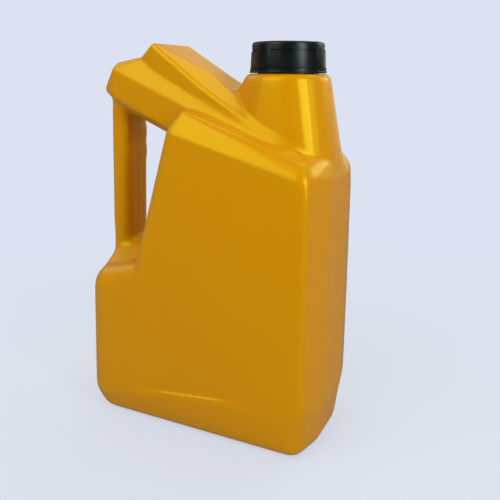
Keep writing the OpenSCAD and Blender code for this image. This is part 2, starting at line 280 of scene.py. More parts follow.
# %% The cap's and the liner's finishes
COOL_GLOSS = (0.80, 0.95, 1.0, 1.0)
DEEP_BLACK = (0.0020, 0.0028, 0.0030, 1.0)
HAZY_BLACK = (0.0040, 0.0048, 0.0050, 1.0)
black = Finish("black_polypropylene", {
    "IOR": 1.49, "Specular IOR Level": 0.33, "Specular Tint": COOL_GLOSS})
slide_lines = black.noise(900.0, 2.0, (1.0, 1.0, 0.02))
haze = black.noise(90.0, 3.0)
black.feed("Base Color", black.blend(haze, DEEP_BLACK, HAZY_BLACK))
black.feed("Roughness", 0.24 + slide_lines * 0.08 + haze * 0.06)
black.bump(slide_lines, 0.06, 0.1 * MM)

CELL_WHITE = (0.80, 0.79, 0.74, 1.0)
SKIN_WHITE = (0.88, 0.87, 0.83, 1.0)
foam = Finish("white_foam", {"IOR": 1.45, "Specular IOR Level": 0.3})
cells = foam.add("ShaderNodeTexVoronoi", None, {"Vector": foam.place, "Scale": 1800.0})
cells = cells.output("Distance")
foam.feed("Base Color", foam.blend(cells, CELL_WHITE, SKIN_WHITE))
foam.feed("Roughness", 0.6 + cells * 0.2)
foam.bump(cells, 0.2, 0.2 * MM)
print("made", black.material.name, "and", foam.material.name)

# %% [markdown]
# ## Recipes
#
# What repeats, or follows a path, is made by Geometry Nodes. A recipe is such a tree with named
# sizes. Running one sets its sizes by the sockets' identifiers, evaluates the object once, and
# keeps the plain mesh.

# %% A recipe and how it is run


class Recipe(Tree):
    """A Geometry Nodes tree with named sizes, ending in one material."""

    def __init__(self, name, sizes):
        group = bpy.data.node_groups.new(name, "GeometryNodeTree")
        super().__init__(group)
        group.interface.new_socket("Geometry", in_out="INPUT", socket_type="NodeSocketGeometry")
        for size, kind in sizes.items():
            group.interface.new_socket(size, in_out="INPUT", socket_type=f"NodeSocket{kind}")
        group.interface.new_socket("Geometry", in_out="OUTPUT", socket_type="NodeSocketGeometry")
        self.start = self.add("NodeGroupInput")

    def size(self, name):
        return self.start.output(name)

    def end(self, geometry, material):
        whole = self.add("GeometryNodeRealizeInstances", None, {"Geometry": geometry})
        painted = self.add("GeometryNodeSetMaterial", None, {"Geometry": whole, "Material": material})
        self.add("NodeGroupOutput", None, {"Geometry": painted})

    def run(self, name, mesh, values):
        made = bpy.data.objects.new(name, mesh)
        bpy.context.scene.collection.objects.link(made)
        modifier = made.modifiers.new(name, "NODES")
        modifier.node_group = self.nodes_of
        for item in self.nodes_of.interface.items_tree:
            if item.in_out == "INPUT" and item.name in values:
                modifier[item.identifier] = values[item.name]
        depsgraph = bpy.context.evaluated_depsgraph_get()
        result = bpy.data.meshes.new_from_object(made.evaluated_get(depsgraph))
        bpy.data.objects.remove(made)
        print(f"{name}: {len(result.polygons)} faces")
        return result


print("recipes are ready")

# %% [markdown]
# ## Two skins from one shell
#
# The CAD bottle is a hollow shell, so its mesh is an outer skin and an inner skin that meet in the
# neck's bore. Taking the bore's faces away leaves them apart. The outer skin is then closed at the
# tower's top and the inner one is drawn up past the rim, which gives two closed solids to work
# with.

# %% Split the shell
MERGE_GAP = 0.002 * MM
RIM_BAND = 0.1 * MM
BORE_TOLERANCE = 0.03 * MM

shell = bmesh.new()
shell.from_mesh(frame["nodes"]["bottle"].data)
bmesh.ops.remove_doubles(shell, verts=shell.verts, dist=MERGE_GAP)
on_axis = [v for v in shell.verts
           if from_axis(v.co) < liner_r and v.co.z > liner_low.z - 1.0 * MM]
rim_z = max(v.co.z for v in on_axis)
rim_radii = [from_axis(v.co) for v in on_axis if v.co.z > rim_z - RIM_BAND]
bore_r, neck_r = min(rim_radii), max(rim_radii)
bore = [f for f in shell.faces
        if all(abs(from_axis(v.co) - bore_r) < BORE_TOLERANCE for v in f.verts)]
bmesh.ops.delete(shell, geom=bore, context="FACES_ONLY")
print(f"bore radius {bore_r / MM:.1f}, neck radius {neck_r / MM:.1f}, rim at {rim_z / MM:.1f} mm")


def connected(start):
    """Faces that hang together with one face."""
    found, waiting = {start}, [start]
    while waiting:
        for edge in waiting.pop().edges:
            for face in edge.link_faces:
                if face not in found:
                    found.add(face)
                    waiting.append(face)
    return found


NECK_TOLERANCE = 0.3 * MM
LOOK_DOWN = 10 * MM
outer_faces = connected(max(shell.faces, key=lambda f: max(v.co.z for v in f.verts)))
tower_z = min(v.co.z for f in outer_faces for v in f.verts
              if from_axis(v.co) < neck_r + NECK_TOLERANCE and v.co.z > band_low.z - LOOK_DOWN)
print(f"outer skin of {len(outer_faces)} faces, tower top at {tower_z / MM:.1f} mm")

# %% [markdown]
# ## Closed solids
#
# A distance field and a solid cut both need a closed skin. The neck's own faces are left off the
# outer skin, because the neck is turned afresh later, and the hole is filled. The inner skin is
# drawn up past the rim, so that it will cut the mouth open.

# %% Close the two skins
DRAW_UP = 1.0 * MM


def part_of(faces):
    """A new mesh to edit, of some of the shell's faces."""
    piece = bmesh.new()
    in_order = dict.fromkeys(v for f in faces for v in f.verts)
    copies = {v: piece.verts.new(v.co) for v in in_order}
    for face in faces:
        piece.faces.new([copies[v] for v in face.verts])
    return piece


def close(piece):
    """Fill each open loop of a piece and point its faces outward."""
    rims = [e for e in piece.edges if e.is_boundary]
    bmesh.ops.edgeloop_fill(piece, edges=rims)
    bmesh.ops.recalc_face_normals(piece, faces=piece.faces)


def as_mesh(piece, name):
    """A plain mesh of an edited one."""
    mesh = bpy.data.meshes.new(name)
    piece.to_mesh(mesh)
    piece.free()
    return mesh


def on_neck(face):
    """Whether a face belongs to the neck above the tower's top."""
    low, high = -0.01 * MM, 0.1 * MM
    covered = all(v.co.z > tower_z + low and from_axis(v.co) < cap_foot_r for v in face.verts)
    return covered and max(v.co.z for v in face.verts) > tower_z + high


skin = part_of([f for f in shell.faces if f in outer_faces and not on_neck(f)])
close(skin)
hollow = part_of([f for f in shell.faces if f not in outer_faces])
mouth = [e for e in hollow.edges if e.is_boundary]
drawn = bmesh.ops.extrude_edge_only(hollow, edges=mouth)["geom"]
for vert in (v for v in drawn if isinstance(v, bmesh.types.BMVert)):
    vert.co.z = rim_z + DRAW_UP
close(hollow)
open_edges = [sum(not e.is_manifold for e in piece.edges) for piece in (skin, hollow)]
print("open edges:", *open_edges)
skin_mesh, hollow_mesh = as_mesh(skin, "outer_skin"), as_mesh(hollow, "hollow")
shell.free()

# %% [markdown]
# ## Soft creases and edges
#
# Blown plastic can't follow a sharp corner, so each crease between two forms is a soft hollow and
# each edge is a soft round. Bevelling the CAD facets would break on their slivers. A distance field
# does it in one rule: grow the skin by the crease radius, shrink it by that and the edge radius
# together, and grow it by the edge radius.

# %% Grow, shrink and grow through a distance field
CREASE_R = 2.2 * MM
EDGE_R = 1.0 * MM
VOXEL = 0.85 * MM

soften = Recipe("soft_edges", {"Crease": "Float", "Edge": "Float", "Voxel": "Float", "Reach": "Int"})


def offset(geometry, distance):
    """The surface at a distance outside a mesh."""
    field = soften.add("GeometryNodeMeshToSDFGrid", None, {
        "Mesh": geometry, "Voxel Size": soften.size("Voxel"), "Band Width": soften.size("Reach")})
    return soften.add("GeometryNodeGridToMesh", None, {
        "Grid": field, "Threshold": distance, "Adaptivity": 0.0})


grown = offset(soften.size("Geometry"), soften.size("Crease"))
shrunk = offset(grown, (soften.size("Crease") + soften.size("Edge")) * -1.0)
soften.end(offset(shrunk, soften.size("Edge")), yellow.material)
field_reach = math.ceil((CREASE_R + EDGE_R) / VOXEL) + 2
soft_sizes = {"Crease": CREASE_R, "Edge": EDGE_R, "Voxel": VOXEL, "Reach": field_reach}
skin_mesh = soften.run("outer_skin", skin_mesh, soft_sizes)

# %% [markdown]
# ## Relax the skin
#
# The field's grid leaves faint ripples along slanted edges. A few rounds that move each point
# toward the middle of its neighbours iron them out. Each round is followed by one the other way, so
# flat walls keep their place and the bottle doesn't shrink.

# %% Smooth without shrinking
RELAX_ROUNDS = 10
RELAX_IN, RELAX_OUT = 0.5, -0.52


def array_of(items, name, width, kind=float):
    """A property of all points or edges as one table."""
    flat = np.empty(len(items) * width, kind)
    items.foreach_get(name, flat)
    return flat.reshape(-1, width)


points = array_of(skin_mesh.vertices, "co", 3)
one, two = array_of(skin_mesh.edges, "vertices", 2, int).T
links = np.bincount(np.concatenate((one, two)), minlength=len(points))[:, None]


def to_middle(places, starts, stops, counts):
    """Each place's way to the middle of its neighbours."""
    total = [np.bincount(starts, places[stops, i], len(places))
             + np.bincount(stops, places[starts, i], len(places)) for i in range(3)]
    return np.stack(total, axis=1) / counts - places


before = points.copy()
for _ in range(RELAX_ROUNDS):
    for share in (RELAX_IN, RELAX_OUT):
        points += share * to_middle(points, one, two, links)
print(f"points moved by {np.abs(points - before).mean() / MM:.3f} mm on average")

# %% [markdown]
# ## A mask and a rule
#
# Some places of the bottle are softer than the rest. The same rule works there with more rounds,
# held back by a mask: a number from 0 to 1 for each point. Only the edges that reach the mask are
# looked at, which keeps it quick. A mask's borders fade, so that no line shows where it ends.

# %% Soften by mask


def fade(values, full, none):
    """1 up to one value, falling to 0 at another."""
    return np.clip((values - none) / (full - none), 0.0, 1.0)


def within(values, span):
    """The same, for a span of two values in millimetres."""
    full, none = span
    return fade(values, full * MM, none * MM)


def soften_where(mask, rounds, outward=None):
    """Smooth the points under a mask, only outward where normals are given."""
    near = mask[one] + mask[two] > 0.0
    ids, local = np.unique(np.concatenate((one[near], two[near])), return_inverse=True)
    starts, stops = np.split(local, 2)
    places, weights = points[ids], RELAX_IN * mask[ids, None]
    for _ in range(rounds):
        step = to_middle(places, starts, stops, links[ids])
        if outward is not None:
            step = np.maximum((step * outward[ids]).sum(1), 0.0)[:, None] * outward[ids]
        places = places + weights * step
    points[ids] = places
    print(f"softened {np.count_nonzero(mask)} points in {rounds} rounds")


print("softening by mask is ready")

# %% [markdown]
# ## The tower's foot and the neck end's corners
#
# Where the tower grows out of the roof the plastic flows in a hollow, the standing edge is a full
# round, and so are the two upper corners of the neck end. In the hollow a point may only move
# outward, so that the edges beside it stay.

# %% Soften the tower's foot, the standing edge and the corners
HOLLOW_ROUNDS, STANDING_ROUNDS, CORNER_ROUNDS = 8, 50, 60
HOLLOW_OUT, HOLLOW_TOP, HOLLOW_BOTTOM = (60, 75), (256, 265), (206, 196)
STANDING_TOP = (26, 42)
CORNER_AT, CORNER_REACH = np.array([[91.0], [39.0], [204.0]]) * MM, (7, 14)

x, y, z = points.T
axis_gap = np.hypot(x - neck_x, y)
tower_foot = within(axis_gap, HOLLOW_OUT) * within(z, HOLLOW_TOP) * within(z, HOLLOW_BOTTOM)
soften_where(tower_foot, HOLLOW_ROUNDS, array_of(skin_mesh.vertices, "normal", 3))
soften_where(within(z, STANDING_TOP), STANDING_ROUNDS)
corner_gap = np.linalg.norm(np.stack((x, np.abs(y), z)) - CORNER_AT, axis=0)
soften_where(within(corner_gap, CORNER_REACH), CORNER_ROUNDS)

# %% [markdown]
# ## The grip's foot, the valley and the bar's underside
#
# The grip flows into the shoulder below it, the bevel along the panel's top runs into the roof
# through a shallow valley, and the underside of the bar is rounded for the hand. The valley follows
# a sloping line, so its mask is the distance from that line.

# %% Soften round the handle
GRIP_ROUNDS, VALLEY_ROUNDS, BAR_ROUNDS = 75, 40, 25
GRIP_FOOT_X, GRIP_FOOT_TOP, GRIP_FOOT_BOTTOM = (-64, -54), (140, 152), (122, 92)
VALLEY_X, VALLEY_Z, VALLEY_FALL = 37.5 * MM, 231.0 * MM, 0.35
VALLEY_REACH, VALLEY_SIDE = (5, 9), (30, 26)
VALLEY_NECK_END, VALLEY_GAP_END = (70, 85), (8, -6)
BAR_X, BAR_BOTTOM, BAR_TOP = (-50, -20), (244, 237), (252, 262)

grip_foot = within(x, GRIP_FOOT_X) * within(z, GRIP_FOOT_TOP) * within(z, GRIP_FOOT_BOTTOM)
soften_where(grip_foot, GRIP_ROUNDS)
valley_gap = np.abs(z - (VALLEY_Z - VALLEY_FALL * (x - VALLEY_X)))
valley = within(valley_gap, VALLEY_REACH) * within(np.abs(y), VALLEY_SIDE)
soften_where(valley * within(x, VALLEY_NECK_END) * within(x, VALLEY_GAP_END), VALLEY_ROUNDS)
bar_underside = within(x, BAR_X) * within(z, BAR_BOTTOM) * within(z, BAR_TOP)
soften_where(bar_underside, BAR_ROUNDS)

# %% [markdown]
# ## The neck end's upright edges
#
# The two upright edges at the neck end are tighter than the bottle's other corners. They could be
# bevelled again, but the points already lie on a round, so each one is moved along its own ray from
# the round's centre, out to a smaller round and the two walls beside it.

# %% Tighten the upright edges
EDGE_CENTRE = np.array([82.35, 39.5]) * MM
WIDE_R, TIGHT_R = 10.0 * MM, 4.5 * MM
END_LEAN = math.radians(11.5)
EDGE_BAND = 1.5 * MM
EDGE_TOP, EDGE_FOOT = (186, 204), (46, 26)
LEAST_COSINE = 0.1

inset = WIDE_R - TIGHT_R
lean_out = np.array([math.cos(END_LEAN), math.sin(END_LEAN)])
tight = np.array([inset * (1 - lean_out[1]) / lean_out[0], inset])
touch_side, touch_end = (tight[0], WIDE_R), tight + TIGHT_R * lean_out

side = np.sign(points[:, 1])
ray = np.stack((points[:, 0], np.abs(points[:, 1])), axis=1) - EDGE_CENTRE
far = np.hypot(*ray.T)
unit = ray / far[:, None]
bearing = np.arctan2(ray[:, 1], ray[:, 0])
to_tight = unit @ tight
to_round = to_tight + np.sqrt(np.maximum(to_tight ** 2 - tight @ tight + TIGHT_R ** 2, 0.0))
to_side = WIDE_R / np.maximum(unit[:, 1], LEAST_COSINE)
to_end = WIDE_R / np.maximum(unit @ lean_out, LEAST_COSINE)
new_far = np.where(bearing > math.atan2(touch_side[1], touch_side[0]), to_side, to_round)
new_far = np.where(bearing < math.atan2(touch_end[1], touch_end[0]), to_end, new_far)
on_round = np.abs(far - WIDE_R) < EDGE_BAND
at_edge = (bearing > END_LEAN) & (bearing < math.pi / 2) & on_round
edge_mask = at_edge * within(points[:, 2], EDGE_TOP) * within(points[:, 2], EDGE_FOOT)
ray *= (1.0 + (new_far / WIDE_R - 1.0) * edge_mask)[:, None]
points[:, 0] = ray[:, 0] + EDGE_CENTRE[0]
points[:, 1] = (ray[:, 1] + EDGE_CENTRE[1]) * side
print(f"tightened {np.count_nonzero(edge_mask)} points")

# %% [markdown]
# ## The ledge at the foot of the panels
#
# The front and back panels end in a small ledge that catches the light. The wall is thin, so a deep
# cut would go through it. The ledge is a shallow scoop above its line and a shallow lip below it,
# and both fade to nothing at the ends. The points are then kept inside the CAD bottle's box.

# %% Cut the ledges and write the points back
LEDGE_FROM, LEDGE_TO = -44.0 * MM, 46.0 * MM
LEDGE_Z, LEDGE_SLOPE = 31.9 * MM, 0.1115
LEDGE_DEPTH, LEDGE_FADE, LEDGE_STEP = 0.75 * MM, 18.0 * MM, 0.9 * MM
LEDGE_LIP, LIP_FADE = 0.6 * MM, 7.0 * MM
PANEL_Y = 46.0 * MM

x, y, z = points.T
taper = np.sin(np.clip((x - LEDGE_FROM) / (LEDGE_TO - LEDGE_FROM), 0.0, 1.0) * math.pi)
above = z - (LEDGE_Z + LEDGE_SLOPE * x)
scoop = np.clip(above / LEDGE_STEP, 0.0, 1.0) * fade(above, 0.0, LEDGE_FADE)
on_panel = np.abs(y) > PANEL_Y
lip = np.clip(1.0 - above / LEDGE_STEP, 0.0, 1.0) * fade(-above, 0.0, LIP_FADE)
points[:, 1] += np.sign(y) * on_panel * taper * (LEDGE_LIP * lip - LEDGE_DEPTH * scoop)
bottle_box = [np.array(corner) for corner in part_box("bottle")]
points = np.clip(points, *bottle_box)
skin_mesh.vertices.foreach_set("co", points.ravel())
print(f"deepest cut {(on_panel * LEDGE_DEPTH * taper * scoop).max() / MM:.2f} mm")

# %% [markdown]
# ## Thin out the flat walls
#
# The field gives flat walls as many faces as tight corners. Collapsing the edges that change the
# shape least keeps the corners fine and makes the piece light enough to share.

# %% Collapse what is flat
KEPT_SHARE = 0.24


def thinned(mesh):
    """A lighter copy of a mesh, still inside the bottle's box."""
    made = bpy.data.objects.new("thinned", mesh)
    bpy.context.scene.collection.objects.link(made)
    modifier = made.modifiers.new("thin", "DECIMATE")
    modifier.ratio = KEPT_SHARE
    depsgraph = bpy.context.evaluated_depsgraph_get()
    result = bpy.data.meshes.new_from_object(made.evaluated_get(depsgraph))
    bpy.data.objects.remove(made)
    inside = np.clip(array_of(result.vertices, "co", 3), *bottle_box)
    result.vertices.foreach_set("co", inside.ravel())
    print(f"kept {len(result.polygons)} faces")
    return result


skin_mesh = thinned(skin_mesh)

# %% [markdown]
# ## Turned pieces
#
# The neck, the cap and the band are round, so each is an outline turned about the neck's axis. The
# outline's corners carry their own radius, because no moulded edge is sharp and the light shows it.

# %% Outline with rounded corners, and a lathe
ROUND_STEPS = 6
TURN_STEPS = 144


def rounded(corners):
    """Points (r, z) of a closed outline from corners (r, z, radius)."""
    outline = []
    for i, (r, z, radius) in enumerate(corners):
        here = Vector((r, z))
        if radius == 0:
            outline.append(here)
            continue
        back = (Vector(corners[i - 1][:2]) - here).normalized()
        ahead = (Vector(corners[(i + 1) % len(corners)][:2]) - here).normalized()
        half = back.angle(ahead) / 2
        centre = here + (back + ahead).normalized() * radius / math.sin(half)
        first = here + back * radius / math.tan(half) - centre
        last = here + ahead * radius / math.tan(half) - centre
        for step in range(ROUND_STEPS + 1):
            outline.append(centre + first.slerp(last, step / ROUND_STEPS) * radius)
    return outline


def turned(name, corners):
    """A solid of revolution about the neck's axis."""
    outline = rounded(corners)
    piece = bmesh.new()
    rings = []
    for step in range(TURN_STEPS):
        angle = 2 * math.pi * step / TURN_STEPS
        out = Vector((math.cos(angle), math.sin(angle), 0.0))
        rings.append([
            piece.verts.new(neck_axis + out * p.x + Vector((0, 0, p.y))) for p in outline])
    for ring, after_ring in zip(rings, rings[1:] + rings[:1]):
        for i in range(len(outline)):
            piece.faces.new((ring[i - 1], ring[i], after_ring[i], after_ring[i - 1]))
    bmesh.ops.remove_doubles(piece, verts=piece.verts, dist=0.001 * MM)
    bmesh.ops.dissolve_degenerate(piece, edges=piece.edges, dist=0.0005 * MM)
    bmesh.ops.recalc_face_normals(piece, faces=piece.faces)
    mesh = as_mesh(piece, name)
    print(f"{name}: {len(mesh.polygons)} faces")
    return mesh


print(f"the lathe turns in {TURN_STEPS} steps")

# %% [markdown]
# ## The screw thread
#
# The neck carries a right-hand thread, and the cap has its match inside. A thread follows a rising
# path, so a recipe sweeps a round section along a spiral. Its ends fade out, as a moulded thread's
# do.

# %% The screw thread's recipe
THREAD_PITCH = 4.0 * MM
THREAD_R = 1.4 * MM
THREAD_TURNS = 1.5
END_STEEP, END_LEAST = 8.0, 0.05

thread = Recipe("screw_thread", {
    "Radius": "Float", "Rise": "Float", "Turns": "Float", "Foot": "Vector"})
spiral = thread.add("GeometryNodeCurveSpiral", None, {
    "Resolution": 64, "Rotations": thread.size("Turns"), "Start Radius": thread.size("Radius"),
    "End Radius": thread.size("Radius"), "Height": thread.size("Rise"), "Reverse": True})
way = thread.add("GeometryNodeSplineParameter").output("Factor")
rise, fall = way * END_STEEP + END_LEAST, (1.0 - way) * END_STEEP + END_LEAST
crest = thread.add("GeometryNodeCurvePrimitiveCircle", None, {"Resolution": 10, "Radius": THREAD_R})
swept = thread.add("GeometryNodeCurveToMesh", None, {
    "Curve": spiral, "Profile Curve": crest, "Scale": rise.at_most(fall).at_most(1.0),
    "Fill Caps": True})
placed = thread.add("GeometryNodeTransform", None, {
    "Geometry": swept, "Translation": thread.size("Foot")})
thread.end(placed, black.material)


def thread_on(name, radius, foot_z):
    """A thread round the neck's axis."""
    sizes = {"Radius": radius, "Rise": THREAD_PITCH * THREAD_TURNS, "Turns": THREAD_TURNS,
             "Foot": (neck_x, 0.0, foot_z)}
    return thread.run(name, bpy.data.meshes.new(name), sizes)


print(f"thread pitch {THREAD_PITCH / MM:.1f} mm")

# %% [markdown]
# ## The neck
#
# The neck stands on the tower. It carries a bead that holds the tamper band, the thread, and a
# smooth rim that the sealing disc closes. It reaches a little into the tower, so that the two join
# as one solid.

# %% Turn the neck
BEAD_R = 23.2 * MM
BEAD_H = 2.6 * MM
RIM_EDGE_R = 0.8 * MM
BEAD_LIFT, THREAD_LIFT, NECK_SINK = 1.8 * MM, 2.2 * MM, 4.0 * MM
bead_z = band_low.z + BEAD_LIFT
neck_thread_z = bead_z + BEAD_H + THREAD_LIFT

neck_mesh = turned("neck", [
    (0.0, tower_z - NECK_SINK, 0),
    (neck_r, tower_z - NECK_SINK, 0),
    (neck_r, bead_z, 0.3 * MM),
    (BEAD_R, bead_z, 0.3 * MM),
    (BEAD_R, bead_z + BEAD_H / 2, 0.6 * MM),
    (neck_r, bead_z + BEAD_H, 0.6 * MM),
    (neck_r, rim_z, RIM_EDGE_R),
    (0.0, rim_z, 0),
])
neck_thread_mesh = thread_on("neck_thread", neck_r, neck_thread_z)

# %% [markdown]
# ## The parting line
#
# The two halves of the blow mould meet in the plane through the middle of the bottle, and leave a
# fine line right round it, over the handle and through the hand gap. Cutting a copy of the skin by
# that plane gives the line's path. The part under the cap is left out.

# %% Find where the mould halves meet
COVER_DOWN, COVER_OUT = 3.0 * MM, 2.0 * MM

halves = bmesh.new()
halves.from_mesh(skin_mesh)
everything = halves.verts[:] + halves.edges[:] + halves.faces[:]
cut = bmesh.ops.bisect_plane(
    halves, geom=everything, plane_co=(0, 0, 0), plane_no=(0, 1, 0), dist=0.001 * MM)
cut_edges = [e for e in cut["geom_cut"] if isinstance(e, bmesh.types.BMEdge)]


def under_cap(edge):
    """Whether the cap covers an edge."""
    return all(v.co.z > tower_z - COVER_DOWN and from_axis(v.co) < cap_foot_r + COVER_OUT
               for v in edge.verts)


line = bmesh.new()
copies = {}
for edge in cut_edges:
    if not under_cap(edge):
        for v in edge.verts:
            if v not in copies:
                copies[v] = line.verts.new((v.co.x, 0.0, v.co.z))
        line.edges.new([copies[v] for v in edge.verts])
line_mesh = as_mesh(line, "mould_line")
halves.free()
print(f"parting line of {len(line_mesh.edges)} edges")

# %% [markdown]
# ## A groove along the parting line
#
# The line could be a bump in the material, but a real groove catches the light from every side. A
# recipe turns the path into a curve with even steps and sweeps a small round cutter along it.

# %% Sweep the cutter along the line
LINE_R = 0.25 * MM
LINE_STEP = 2.5 * MM

groove = Recipe("parting_groove", {"Radius": "Float", "Step": "Float"})
path = groove.add("GeometryNodeMeshToCurve", None, {"Mesh": groove.size("Geometry")})
path = groove.add("GeometryNodeResampleCurve", {"mode": "LENGTH"}, {
    "Curve": path, "Length": groove.size("Step")})
ring = groove.add("GeometryNodeCurvePrimitiveCircle", None, {
    "Resolution": 8, "Radius": groove.size("Radius")})
cutter = groove.add("GeometryNodeCurveToMesh", None, {
    "Curve": path, "Profile Curve": ring, "Fill Caps": True})
groove.end(cutter, yellow.material)
groove_mesh = groove.run("parting_groove", line_mesh, {"Radius": LINE_R, "Step": LINE_STEP})

# %% [markdown]
# ## One moulding
#
# The skin, neck and thread are one piece of plastic, so they are joined as solids, and the groove
# and the hollow are taken out. The bottle stays hollow, with its mouth open under the cap.

# %% Join and cut solids


def solid(target, operation, others):
    """A mesh joined with other solids, or with them cut away."""
    scene = bpy.context.scene.collection.objects
    base = bpy.data.objects.new("base", target)
    scene.link(base)
    helpers = [bpy.data.objects.new("helper", other) for other in others]
    for helper in helpers:
        scene.link(helper)
        modifier = base.modifiers.new("solid", "BOOLEAN")
        modifier.operation = operation
        modifier.solver = "MANIFOLD"
        modifier.object = helper
    depsgraph = bpy.context.evaluated_depsgraph_get()
    result = bpy.data.meshes.new_from_object(base.evaluated_get(depsgraph))
    for made in [base] + helpers:
        bpy.data.objects.remove(made)
    return result


print("solids can be joined and cut")

# %% [markdown]
# ## The finished bottle
#
# A finished piece is shaded smooth, apart from edges that turn sharply, carries one material, and
# sits at the origin. It rides on its CAD body and stands for the CAD node.

# %% Make the bottle one piece
SHARP = math.radians(38)


def finished(name, mesh, finish):
    """A smooth-shaded object with one material, at the origin."""
    mesh.materials.clear()
    mesh.materials.append(finish.material)
    mesh.polygons.foreach_set("material_index", np.zeros(len(mesh.polygons), int))
    mesh.shade_smooth()
    mesh.set_sharp_from_angle(angle=SHARP)
    mesh.name = name
    made = bpy.data.objects.new(name, mesh)
    bpy.context.scene.collection.objects.link(made)
    triangles = sum(len(p.vertices) - 2 for p in mesh.polygons)
    print(f"{name}: {triangles} triangles")
    return made


bottle_mesh = solid(skin_mesh, "DIFFERENCE", [groove_mesh])
bottle_mesh = solid(bottle_mesh, "UNION", [neck_mesh, neck_thread_mesh])
bottle_mesh = solid(bottle_mesh, "DIFFERENCE", [hollow_mesh])
bottle = finished("bottle_shell", bottle_mesh, yellow)
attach(bottle, "bottle")
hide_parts("bottle")

# %% [markdown]
# ## Arcs cut into the cap
#
# The cap has a row of slots below its crown, and on its skirt a fine corner mark and an upright
# line. All of these are arcs cut into a round wall, so one recipe makes them: it repeats an arc of
# a given size round the axis and takes it out of the cap.

# %% A recipe that cuts arcs into a round wall
arcs = Recipe("arcs_round_cap", {
    "Count": "Int", "Radius": "Float", "Depth": "Float", "Height": "Float", "Sweep": "Float",
    "Turn": "Float", "Level": "Vector"})
arc = arcs.add("GeometryNodeCurveArc", {"mode": "RADIUS"}, {
    "Resolution": 24, "Radius": arcs.size("Radius"), "Start Angle": 0.0,
    "Sweep Angle": arcs.size("Sweep")})
section = arcs.add("GeometryNodeCurvePrimitiveQuadrilateral", None, {
    "Width": arcs.size("Depth") * 2.0, "Height": arcs.size("Height")})
cutter = arcs.add("GeometryNodeCurveToMesh", None, {
    "Curve": arc, "Profile Curve": section, "Fill Caps": True})
places = arcs.add("GeometryNodeMeshLine", None, {
    "Count": arcs.size("Count"), "Offset": (0.0, 0.0, 0.0)})
index = arcs.add("GeometryNodeInputIndex")
angle = index * (2 * math.pi) / arcs.size("Count") + arcs.size("Turn")
rotation = arcs.add("ShaderNodeCombineXYZ", None, {"Z": angle})
row = arcs.add("GeometryNodeInstanceOnPoints", None, {
    "Points": places, "Instance": cutter, "Rotation": rotation})
row = arcs.add("GeometryNodeTransform", None, {
    "Geometry": row, "Translation": arcs.size("Level")})
row = arcs.add("GeometryNodeRealizeInstances", None, {"Geometry": row})
rest = arcs.add("GeometryNodeMeshBoolean", {"operation": "DIFFERENCE", "solver": "MANIFOLD"}, {
    "Mesh 1": arcs.size("Geometry"), "Mesh 2": row})
arcs.end(rest, black.material)


def cut_arcs(mesh, count, radius, depth, height, sweep, turn, level):
    """Take a row of arcs out of a mesh. Angles are in degrees."""
    sizes = {"Count": count, "Radius": radius, "Depth": depth, "Height": height,
             "Sweep": math.radians(sweep), "Turn": math.radians(turn), "Level": (neck_x, 0.0, level)}
    return arcs.run("cap", mesh, sizes)


print("arcs are ready")

# %% [markdown]
# ## The cap
#
# The cap is a shallow cup with a slightly dished top, a soft upper edge and a skirt that widens
# downward. Its crown is set in a little, and the slots divide it from the skirt. It is turned on
# the lathe and the slots are cut by the recipe.

# %% Turn the cap and cut its slots
CAP_TOP_R = 25.6 * MM
CAP_EDGE_R = 2.0 * MM
CAP_WALL = 2.0 * MM
CAP_TOP_T = 1.8 * MM
FOOT_EDGE_R = 0.15 * MM
CROWN_IN = 0.35 * MM
DISH_DROP, DISH_FOOT, DISH_EDGE = 0.2 * MM, 4.0 * MM, 3.2 * MM
SLOT_DROP, SLOT_H, SLOT_DEPTH = 6.0 * MM, 1.1 * MM, 1.25 * MM
SLOT_N, SLOT_SWEEP, SLOT_TURN = 9, 31.3, -15.0

cap_z, cap_top = cap_low.z, cap_high.z
slot_z = cap_top - SLOT_DROP


def skirt_r(z):
    """Outer radius of the cap's skirt at a height."""
    share = (cap_top - CAP_EDGE_R - z) / (cap_top - CAP_EDGE_R - cap_z)
    return CAP_TOP_R + (cap_foot_r - CAP_TOP_R) * share


cap_mesh = turned("cap", [
    (0.0, cap_top - DISH_DROP, 0),
    (CAP_TOP_R - DISH_FOOT, cap_top - DISH_DROP, 0.3 * MM),
    (CAP_TOP_R - DISH_EDGE, cap_top, 0.4 * MM),
    (CAP_TOP_R - CROWN_IN, cap_top, CAP_EDGE_R),
    (skirt_r(slot_z) - CROWN_IN, slot_z, 0.1 * MM),
    (skirt_r(slot_z), slot_z, 0.15 * MM),
    (cap_foot_r, cap_z, FOOT_EDGE_R),
    (cap_foot_r - CAP_WALL, cap_z, FOOT_EDGE_R),
    (CAP_TOP_R - CAP_WALL, cap_top - CAP_TOP_T, 0.2 * MM),
    (0.0, cap_top - CAP_TOP_T, 0),
])
cap_mesh = cut_arcs(
    cap_mesh, SLOT_N, skirt_r(slot_z), SLOT_DEPTH, SLOT_H, SLOT_SWEEP, SLOT_TURN, slot_z)

# %% [markdown]
# ## Marks on the skirt, and the thread inside
#
# A fine upright line and a corner mark are moulded into the skirt on the side that faces the
# viewer. They are short arcs, so the same recipe cuts them. The thread inside lies half a pitch
# from the neck's, between its crests.

# %% Cut the marks and add the thread
MARK_W, MARK_DEPTH = 0.5 * MM, 0.35 * MM
FACING = -67.9
MARK_TOP_Z, MARK_FOOT_Z = slot_z - 0.9 * MM, slot_z - 5.4 * MM
MARK_WIDE = math.degrees(MARK_W / cap_foot_r)
CORNER_TURN, CORNER_FOOT_TURN, CORNER_FOOT_SWEEP = -19.0, -34.0, 20.0
LINE_TURN, LINE_H = 45.5, 10.0 * MM
THREAD_PROUD = 0.3 * MM


def upright_mark(mesh, turn, low, high):
    """Cut an upright line into the skirt."""
    middle = (low + high) / 2
    return cut_arcs(
        mesh, 1, skirt_r(middle), MARK_DEPTH, high - low, MARK_WIDE, FACING + turn, middle)


